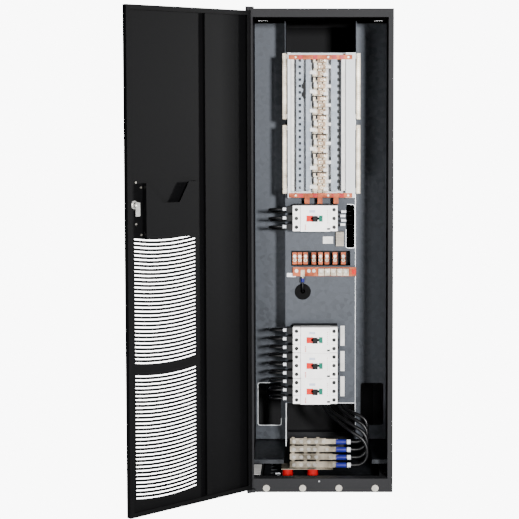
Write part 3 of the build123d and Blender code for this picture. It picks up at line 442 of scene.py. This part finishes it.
# Dark screw slots: painted shade in the slot grooves at the bottom of each well.
shade_dark_screw = drawn_metal("shade_dark_screw", (0.012, 0.012, 0.012), (0.05, 0.048, 0.045), 0.4)
blocks_piece("well_slots",
             [((x - slot_half_w, y + slot_front, z - slot_half_h),
               (x + slot_half_w, y + slot_back, z + slot_half_h)) for x, y, z in well_spots],
             0.0002, shade_dark_screw, "cabinet")
blocks_piece("load_stubs",
             [((cover_high[0] + stub_left, face_y + stub_front, z + dz - stub_drop),
               (cover_high[0] + stub_right, face_y + stub_back, z + dz + stub_rise))
              for z in toggle_zs[1:] for dz in pole_drops],
             0.0008, black_moulding, "cabinet")

# ---------------------------------------------------------------------------
# Wire markers: white moulded tubes pushed over the jumpers, the control wires and the feeders,
# with a bead at each end, and a blue boot round the neck of each feeder's sleeve.
shield_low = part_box("lug_shields")[0]
jumper_back = 0.014
jumper_y = (cover_low[1] + cover_high[1]) / 2 + jumper_back
jumper_gap = 0.0165
control_gap, control_stagger, control_back = 0.012, 0.003, 0.026
control_drops = (-0.026, -0.009, 0.009, 0.026)
marker_white = moulded("marker_white", (0.56, 0.57, 0.60), (0.74, 0.75, 0.78), 0.45)


def tube_profile(inner, outer, length):
    """Section of a tube with a low bead at each end."""
    bead = outer + 0.0006
    flat, neck = 0.0015, 0.0022
    return [(inner, 0), (bead, 0), (bead, flat), (outer, neck), (outer, length - neck),
            (bead, length - flat), (bead, length), (inner, length), (inner, 0)]


turned_piece("jumper_markers",
             [(shield_low[0] - jumper_gap, jumper_y, z + dz) for z in toggle_zs
              for dz in pole_drops],
             tube_profile(0.0047, 0.0066, 0.013), 0, marker_white, "cabinet")
turned_piece("control_markers",
             [(cover_high[0] + control_gap + control_stagger * (k % 2), face_y + control_back,
               toggle_zs[0] + dz) for k, dz in enumerate(control_drops)],
             tube_profile(0.0022, 0.0052, 0.019), 0, marker_white, "cabinet")
sleeve_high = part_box("heat_shrinks")[1]
bar_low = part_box("landing_bars")[0]
bar_step_y, bar_step_z = 0.017, 0.027
marker_ahead, boot_behind = 0.004, 0.040
feeder_spots = [(bar_low[1] + 0.021 + bar_step_y * k - 0.008, bar_low[2] + 0.015 + bar_step_z * k)
                for k in range(4)]
turned_piece("feeder_markers", [(sleeve_high[0] + marker_ahead, y, z) for y, z in feeder_spots],
             tube_profile(0.0072, 0.0092, 0.014), 0, marker_white, "cabinet")
turned_piece("lug_boots", [(sleeve_high[0] - boot_behind, y, z) for y, z in feeder_spots],
             tube_profile(0.0092, 0.0102, 0.016), 0, blue_sleeve, "cabinet")

# ---------------------------------------------------------------------------
# Edge highlights: bright strips painted round the openings and down the corners of the column,
# as painted highlights where the folded edges of the galvanised sheet catch the light.
# This bright metal is the painted highlight on the edge strips, and the real finish of the floor
# clips and the skirt screw.
bright_metal_and_highlight = drawn_metal("bright_metal_and_highlight", (0.30, 0.31, 0.32), (0.48, 0.49, 0.50), 0.45)


def rim_strip(shape, path, width, y0, y1):
    """A flat strip of one width along (x, z) points, from depth y0 to depth y1."""
    edges = []
    for k, (x, z) in enumerate(path):
        before = path[max(k - 1, 0)]
        after = path[min(k + 1, len(path) - 1)]
        run = Vector((after[0] - before[0], after[1] - before[1])).normalized()
        side = Vector((-run[1], run[0])) * width / 2
        edges.append([shape.verts.new((x + side[0] * way, y, z + side[1] * way))
                      for way, y in ((-1, y0), (1, y0), (1, y1), (-1, y1))])
    for one, two in zip(edges, edges[1:]):
        for k in range(4):
            shape.faces.new((one[k], one[(k + 1) % 4], two[(k + 1) % 4], two[k]))
    shape.faces.new(edges[0])
    shape.faces.new(edges[-1])


def corner_path(points, radius):
    """Open path of (x, z) points with each inner corner rounded."""
    path = [points[0]]
    for before, corner, after in zip(points, points[1:], points[2:]):
        here = Vector(corner)
        one = here + (Vector(before) - here).normalized() * radius
        two = here + (Vector(after) - here).normalized() * radius
        for k in range(7):
            t = k / 6
            spot = one * (1 - t) ** 2 + here * 2 * t * (1 - t) + two * t ** 2
            path.append((spot[0], spot[1]))
    path.append(points[-1])
    return path


rim_proud = 0.001
web_low, web_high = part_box("column_web")
wing_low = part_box("wing_panels")[0]
side_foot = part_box("column_sides")[0][2]
block_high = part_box("terminal_block")[1]
ways_left, ways_right = block_high[0] + 0.010, block_high[0] + 0.044
ways_foot, ways_head = toggle_zs[0] - 0.128, toggle_zs[0] + 0.048
hole_left, hole_right = wing_low[0] + 0.010, wing_low[0] + 0.106
hole_foot, hole_head = wing_low[2] + 0.060, wing_low[2] + 0.240
rims = bmesh.new()
rim_y = web_low[1]
wing_y = wing_low[1]
ways_path = [(ways_left - rim_proud, toggle_zs[0] - 0.052),
             (ways_left - rim_proud, ways_foot - rim_proud),
             (ways_right + rim_proud, ways_foot - rim_proud),
             (ways_right + rim_proud, ways_head),
             (ways_left + 0.004, ways_head + rim_proud)]
hand_path = [(hole_left + 0.05, hole_head + rim_proud),
             (hole_left - rim_proud, hole_head + rim_proud),
             (hole_left - rim_proud, hole_foot - rim_proud),
             (hole_right + rim_proud, hole_foot - rim_proud),
             (hole_right + rim_proud, hole_foot + 0.03)]
rim_strip(rims, corner_path(ways_path, 0.009), 0.0022, rim_y - 0.0012, rim_y)
rim_strip(rims, [(web_low[0], side_foot), (web_low[0], web_low[2])],
          0.0035, rim_y + 0.0002, rim_y + 0.004)
rim_strip(rims, [(web_high[0], side_foot + 0.09), (web_high[0], web_low[2])],
          0.003, rim_y + 0.0002, rim_y + 0.004)
rim_strip(rims, [(cover_high[0] + 0.002, web_low[2] + rim_proud),
                 (web_high[0], web_low[2] + rim_proud)],
          0.003, rim_y - 0.0010, rim_y)
rim_strip(rims, [(web_high[0] - rim_proud, web_low[2]), (web_high[0] - rim_proud, web_high[2])],
          0.0018, rim_y - 0.0006, rim_y)
rim_strip(rims, corner_path(hand_path, 0.010), 0.0026, wing_y - 0.0012, wing_y)
landed("edge_highlight_strips", rims, bright_metal_and_highlight, "cabinet")

# ---------------------------------------------------------------------------
# Branch bus: a moulded carrier at every third way, each with a dark top web and white tabs that
# bridge to the rails, and a brown-tinted stud plate with a washer for every way. A toothed black
# strip is pressed into the right-hand rail, and a black latch sits at the left.
tongue_low, tongue_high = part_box("bus_tongues")
bus_front = tongue_low[1]
way_step = 0.0254
end_room = 0.008
way_count = int(round((tongue_high[2] - tongue_low[2] - 2 * end_room) / way_step)) + 1
way_zs = [tongue_low[2] + end_room + way_step * k for k in range(way_count)]
carrier_tops = [z + way_step / 2 for z in way_zs[2::3]]
web_blocks = ((-0.034, 0.022, 0.004, 0.0), (-0.020, -0.013, 0.017, 0.0035),
              (-0.034, -0.030, 0.050, 0.0035), (0.019, 0.022, 0.012, 0.0035))
tab_blocks = ((-0.027, -0.017, 0.042, 0.023), (-0.044, -0.020, 0.067, 0.053),
              (0.020, 0.042, 0.044, 0.032), (0.011, 0.028, 0.0755, 0.062))
for name, blocks, rise, edge, material, slot in (
        ("carrier_webs", web_blocks, 0.0040, 0.0004, black_moulding, "black_plastic"),
        ("carrier_tabs", tab_blocks, 0.0045, 0.0008, white_moulding, "white_plastic")):
    blocks_piece(name,
                 [((left, bus_front - rise, top - foot), (right, bus_front + 0.0002, top - head))
                  for top in carrier_tops for left, right, foot, head in blocks],
                 edge, material, "cabinet")
stud_tint = drawn_metal("stud_tint", (0.045, 0.026, 0.015), (0.17, 0.115, 0.075), 0.45)
plate_y = bus_front - 0.0024
plate_left, plate_right, plate_half = -0.0125, 0.0175, 0.0092
stud_x = 0.0035
blocks_piece("stud_plates",
             [((plate_left, plate_y, z - plate_half),
               (plate_right, bus_front + 0.0002, z + plate_half)) for z in way_zs],
             0.0009, stud_tint, "cabinet")
turned_piece("stud_washers", [(stud_x, plate_y, z) for z in way_zs],
             [(0.0030, 0), (0.0030, -0.0016), (0.0058, -0.0016), (0.0062, -0.0004), (0.0062, 0)],
             1, tin_plate, "cabinet")
rail_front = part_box("guide_rails")[0][1]
strip_left, strip_right, strip_half = 0.0700, 0.0745, 0.0127
tooth_left, tooth_right, tooth_half = 0.0655, 0.0770, 0.0062
blocks_piece("toothed_strip",
             [((strip_left, rail_front - 0.0010, z - strip_half),
               (strip_right, rail_front + 0.0014, z + strip_half)) for z in way_zs]
             + [((tooth_left, rail_front - 0.0012, z - tooth_half),
                 (tooth_right, rail_front + 0.0014, z + tooth_half)) for z in way_zs],
             0.0006, black_moulding, "cabinet")
latch_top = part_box("panel_tray")[1][2] - 0.113
latch_blocks = ((-0.070, -0.060, 0.0035, 0.070, 0), (-0.076, -0.068, 0.0030, 0.030, 0.012),
                (-0.076, -0.068, 0.0030, 0.062, 0.044))
blocks_piece("board_latch",
             [((left, rail_front - rise, latch_top - foot), (right, rail_front, latch_top - head))
              for left, right, rise, foot, head in latch_blocks],
             0.001, black_moulding, "cabinet")

# ---------------------------------------------------------------------------
# Cross-bar saddles: small red resin blocks, pressed over the copper cross bars where each bar is
# held down.
saddle_xs = (-0.080, -0.022, 0.054, 0.084)
saddle_half_w, saddle_half_h, saddle_in = 0.009, 0.0075, 0.009
cross_low, cross_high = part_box("cross_bars")
blocks_piece("bar_saddles",
             [((x - saddle_half_w, cross_low[1] - 0.0032, z - saddle_half_h),
               (x + saddle_half_w, cross_low[1] - 0.0002, z + saddle_half_h))
              for x in saddle_xs for z in (cross_low[2] + saddle_in, cross_high[2] - saddle_in)],
             0.0012, red_resin, "cabinet")

# ---------------------------------------------------------------------------
# Lug washers: a broad tinned washer under each incoming bolt. The neutral bar ends in a red
# plastic cap and carries a white plastic tag.
strap_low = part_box("incoming_lugs")[0]
bolt_in, bolt_up = 0.009, 0.018
bolt_steps_mm = (0, 21, 44, 78, 105, 131, 164, 198)
strap_xs = [strap_low[0] + bolt_in + 0.001 * step for step in bolt_steps_mm]
turned_piece("lug_washers", [(x, strap_low[1], strap_low[2] + bolt_up) for x in strap_xs],
             [(0.0032, -0.0002), (0.0032, -0.0035), (0.0074, -0.0035), (0.0088, -0.0018),
              (0.0088, -0.0002)],
             1, tin_plate, "cabinet")
neutral_low, neutral_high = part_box("neutral_bar")
neutral_z = (neutral_low[2] + neutral_high[2]) / 2
blocks_piece("neutral_cap",
             [((neutral_high[0] - 0.017, neutral_low[1] - 0.004, neutral_z - 0.010),
               (neutral_high[0] - 0.001, neutral_low[1] - 0.0004, neutral_z + 0.010)),
              ((neutral_high[0] - 0.012, neutral_low[1] - 0.008, neutral_z - 0.005),
               (neutral_high[0] - 0.003, neutral_low[1] - 0.003, neutral_z + 0.005))],
             0.001, state_red, "cabinet")
blocks_piece("bar_tag",
             [((neutral_low[0] - 0.024, rim_y - 0.0008, neutral_low[2] - 0.006),
               (neutral_low[0] + 0.012, rim_y - 0.0001, neutral_low[2] + 0.010))],
             0.0002, marker_white, "cabinet")

# ---------------------------------------------------------------------------
# Floor clips: four folded zinc bars riveted to the floor pan beside the standoffs, and a small
# screw that holds the skirt.
pan_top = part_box("floor_pan")[1][2]
clip_left, clip_right, clip_front, clip_back = -0.184, -0.150, 0.075, 0.083
clip_step, clip_count = 0.047, 4
blocks_piece("floor_clips",
             [((clip_left, front_y + clip_front + clip_step * k, pan_top + 0.0002),
               (clip_right, front_y + clip_back + clip_step * k, pan_top + 0.0045))
              for k in range(clip_count)],
             0.0008, bright_metal_and_highlight, "cabinet")
turned_piece("skirt_screw", [(-0.006, front_y, skirt_high[2] - 0.010)],
             [(0.0001, -0.0012), (0.0012, -0.0004), (0.0030, -0.0014), (0.0036, -0.0006),
              (0.0036, -0.0001)],
             1, bright_metal_and_highlight, "cabinet")
